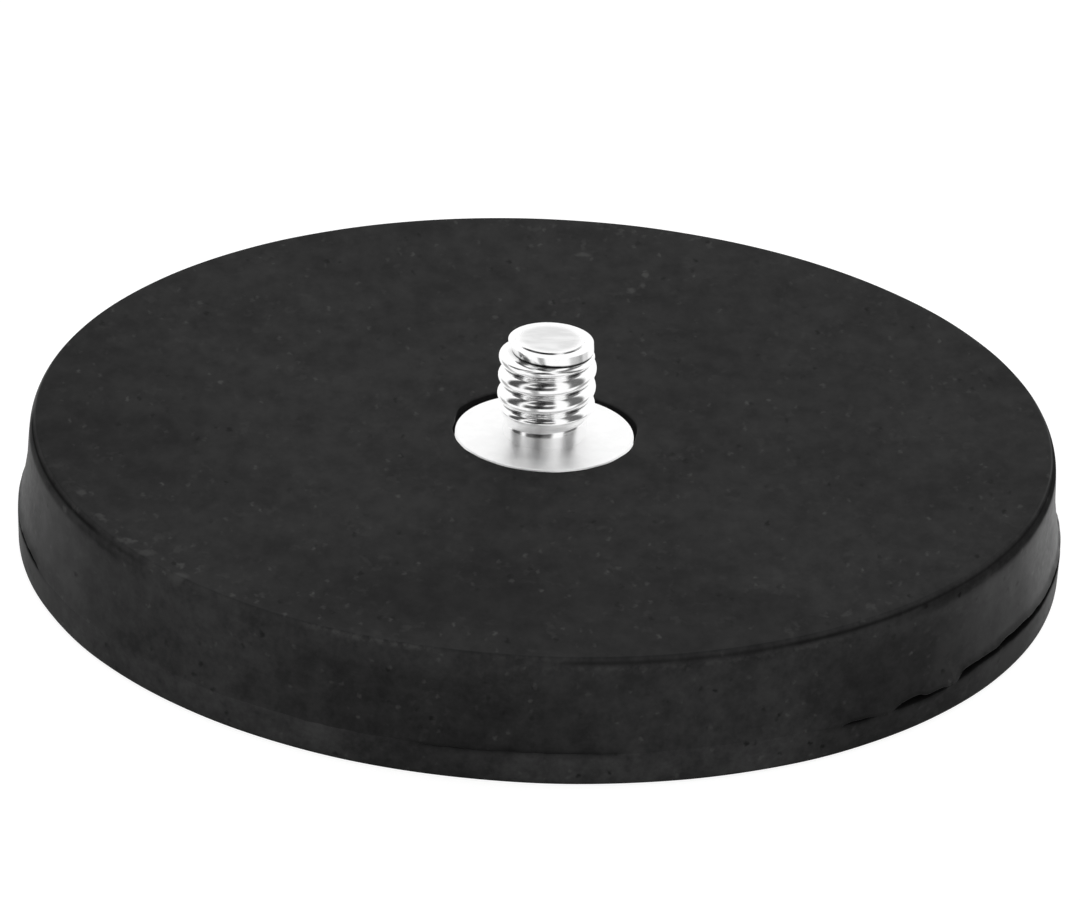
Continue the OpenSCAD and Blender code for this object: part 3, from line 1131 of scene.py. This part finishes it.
def stud_material():
    """Bright plated steel, duller on the sawn end, with faint turning rings and dark lines of painted shade.
    """
    material, tree, shader, point = new_material("bright_plating")
    cloud = noise(tree, point, scale=1.1)
    fine = noise(tree, point, scale=9.0)
    streaks = noise(tree, point, scale=0.7, stretch=(0.6, 1.6, 1))
    bright = mixed(tree, ramp(tree, cloud, low=0.35, high=0.65), PLATING_DARK, PLATING_LIGHT)
    dull = mixed(tree, ramp(tree, streaks, low=0.35, high=0.65), END_DARK, END_LIGHT)
    tint = mixed(tree, attribute(tree, "end_face"), bright, dull)
    # The line attribute paints dark lines of shade onto the plating
    tint = mixed(tree, attribute(tree, "line"), tint, SHADE_LINE_COLOUR)
    gloss = ramp(tree, cloud, 0.3, 0.7, PLATING_ROUGH_LOW, PLATING_ROUGH_HIGH, eased=False)
    satin = math_node(tree, "MULTIPLY", attribute(tree, "satin"), SATIN_ROUGH)
    radius = vector_math(tree, "LENGTH", vector_math(tree, "MULTIPLY", point, (1, 1, 0)), out="Value")
    rings = math_node(tree, "SINE", math_node(tree, "MULTIPLY", radius, TURNING_RINGS))
    relief = math_node(tree, "ADD", fine, math_node(tree, "MULTIPLY", rings, TURNING_DEPTH))
    raised = {"Strength": PLATING_BUMP, "Distance": PLATING_BUMP_H * MM, "Height": relief}
    connect(tree, shader, {
        "Base Color": tint,
        "Roughness": math_node(tree, "ADD", gloss, satin),
        "Normal": add(tree, "ShaderNodeBump", raised).outputs["Normal"],
    })
    shader.inputs["Metallic"].default_value = PLATING_METALLIC
    return material


def dress(made, material):
    """Gives an object this material alone."""
    made.data.materials.clear()
    made.data.materials.append(material)


# Stage: camera, floor and studio light

# The focal length is in pixels of a picture PHOTO_W wide, and distance and clipping are in metres
PHOTO_W = 1080
FOCAL_PX = 17345
SENSOR_MM = 36
CAMERA_DISTANCE = 1.1
CAMERA_ELEVATION = math.radians(25.90)
CAMERA_ROLL = math.radians(2.746)
CAMERA_YAW = math.radians(-0.0092)
CAMERA_PITCH = math.radians(0.339)
CLIP_START = 0.01
CLIP_END = 50


def make_camera():
    """Long lens that looks down on the disc, with a slight roll to the left."""
    back = Vector((0, -math.cos(CAMERA_ELEVATION), math.sin(CAMERA_ELEVATION)))
    right = Vector((1, 0, 0))
    up = right.cross(-back)
    turned = -back * math.cos(CAMERA_YAW) + right * math.sin(CAMERA_YAW)
    right = turned.cross(up)
    forward = turned * math.cos(CAMERA_PITCH) + up * math.sin(CAMERA_PITCH)
    up = right.cross(forward)
    rolled_right = right * math.cos(CAMERA_ROLL) + up * math.sin(CAMERA_ROLL)
    rolled_up = up * math.cos(CAMERA_ROLL) - right * math.sin(CAMERA_ROLL)
    data = bpy.data.cameras.new("camera")
    data.sensor_width = SENSOR_MM
    data.lens = FOCAL_PX / PHOTO_W * SENSOR_MM
    data.clip_start = CLIP_START
    data.clip_end = CLIP_END
    camera = bpy.data.objects.new("camera", data)
    facing = Matrix((rolled_right, rolled_up, -forward)).transposed().to_4x4()
    camera.matrix_world = Matrix.Translation(back * CAMERA_DISTANCE) @ facing
    bpy.context.scene.collection.objects.link(camera)
    bpy.context.scene.camera = camera


WHITE = (1, 1, 1, 1)
FLOOR_COLOUR = (0.92, 0.92, 0.92, 1)
FLOOR_HALF = 4.0
FLOOR_DROP = 0.02 * MM
FLOOR_GLOW = 1.25
FLOOR_GLOW_SHARE = 0.72


def make_floor():
    """Plain white floor that shows the part's shadow softly."""
    mesh = bpy.data.meshes.new("floor")
    half = FLOOR_HALF
    corners = [(-half, -half), (half, -half), (half, half), (-half, half)]
    mesh.from_pydata([(x, y, -FLOOR_DROP) for x, y in corners], [], [(0, 1, 2, 3)])
    floor = bpy.data.objects.new("floor", mesh)
    bpy.context.scene.collection.objects.link(floor)
    material = bpy.data.materials.new("white_floor")
    material.use_nodes = True
    tree = material.node_tree
    tree.nodes.clear()
    output = add(tree, "ShaderNodeOutputMaterial")
    matte = add(tree, "ShaderNodeBsdfDiffuse", {"Color": FLOOR_COLOUR})
    glow = add(tree, "ShaderNodeEmission", {"Color": WHITE, "Strength": FLOOR_GLOW})
    paths = add(tree, "ShaderNodeLightPath")
    seen = math_node(tree, "MULTIPLY", paths.outputs["Is Camera Ray"], FLOOR_GLOW_SHARE)
    blend = add(tree, "ShaderNodeMixShader", {0: seen, 1: matte.outputs[0], 2: glow.outputs[0]})
    tree.links.new(blend.outputs[0], output.inputs["Surface"])
    mesh.materials.append(material)


# Dark panels of the studio, as (azimuth, half width, lowest and highest elevation, darkness). The angles
# are in degrees, and azimuths start at +X
DARK_PANELS = [
    (-108, 10, -12, 84, 0.95),
    (-107, 36, -16, 20, 0.92),
    (-18, 20, -18, 76, 0.88),
    (187, 16, -18, 72, 0.95),
    (-118, 8, -80, -14, 0.65),
    (8, 16, -80, -18, 0.65),
    (150, 12, -80, -18, 0.6),
]
# Panels that only mirrored rays see, in the same form
MIRRORED_PANELS = [
    (-107, 36, 34, 86, 0.95),
]
PANEL_SOFTNESS = 6
STUDIO_LEVEL = 1.08


def panel_shade(tree, heading, height, panel):
    """How dark a panel makes the studio in this direction. height is the sine of the elevation."""
    azimuth, half, bottom, top, darkness = panel
    toward = (math.cos(math.radians(azimuth)), math.sin(math.radians(azimuth)), 0)
    facing = vector_math(tree, "DOT_PRODUCT", heading, toward, out="Value")
    outer = math.cos(math.radians(half + PANEL_SOFTNESS))
    inner = math.cos(math.radians(half - PANEL_SOFTNESS))
    over = math.sin(math.radians(top + PANEL_SOFTNESS))
    under = math.sin(math.radians(top - PANEL_SOFTNESS))
    outside = math.sin(math.radians(bottom - PANEL_SOFTNESS))
    inside = math.sin(math.radians(bottom + PANEL_SOFTNESS))
    across = ramp(tree, facing, outer, inner, out_high=darkness)
    shade = math_node(tree, "MULTIPLY", across, ramp(tree, height, over, under))
    return math_node(tree, "MULTIPLY", shade, ramp(tree, height, outside, inside))


def make_world():
    """Even white studio with dark panels, which plated metal mirrors as streaks. The camera sees white."""
    world = bpy.data.worlds.new("studio")
    bpy.context.scene.world = world
    world.use_nodes = True
    tree = world.node_tree
    tree.nodes.clear()
    output = add(tree, "ShaderNodeOutputWorld")
    paths = add(tree, "ShaderNodeLightPath")
    direction = add(tree, "ShaderNodeTexCoord").outputs["Generated"]
    heading = vector_math(tree, "NORMALIZE", vector_math(tree, "MULTIPLY", direction, (1, 1, 0)))
    height = add(tree, "ShaderNodeSeparateXYZ", {0: direction}).outputs["Z"]
    shades = [panel_shade(tree, heading, height, panel) for panel in DARK_PANELS]
    for panel in MIRRORED_PANELS:
        shade = panel_shade(tree, heading, height, panel)
        shades.append(math_node(tree, "MULTIPLY", shade, paths.outputs["Is Glossy Ray"]))
    level = STUDIO_LEVEL
    for shade in shades:
        level = math_node(tree, "MULTIPLY", level, math_node(tree, "SUBTRACT", 1.0, shade))
    seen = math_node(tree, "MAXIMUM", level, paths.outputs["Is Camera Ray"])
    light = add(tree, "ShaderNodeBackground", {"Color": WHITE, "Strength": seen})
    tree.links.new(light.outputs[0], output.inputs["Surface"])


# Assembly

rubber = rubber_material()
cover = make_cover()
base = make_base()
stud = make_stud()
for piece, node, slot, finish in (
    (cover, "rubber_cover", "black_rubber", rubber),
    (base, "rubber_base", "black_rubber", rubber),
    (stud, "threaded_stud", "plated_steel", stud_material()),
):
    dress(piece, finish)
    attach(piece, "root")
    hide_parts(node)

zinc = metal_material(
    "plate_zinc", (0.56, 0.57, 0.58), rough_low=0.3, rough_high=0.45, mark_scale=3.0, mark_height=0.01
)
nickel = metal_material(
    "magnet_nickel", (0.66, 0.65, 0.62), rough_low=0.14, rough_high=0.26, mark_scale=6.0, mark_height=0.004
)
dress(frame["nodes"]["steel_plate"], zinc)
for name in magnet_nodes:
    dress(frame["nodes"][name], nickel)

make_camera()
make_floor()
make_world()
# Only the studio and the stud itself are mirrored: the floor and the other pieces stay out of reflections
for made in [*bpy.context.scene.objects]:
    if made.type == "MESH" and made != stud:
        made.visible_glossy = False
bpy.context.scene.view_settings.view_transform = "Standard"
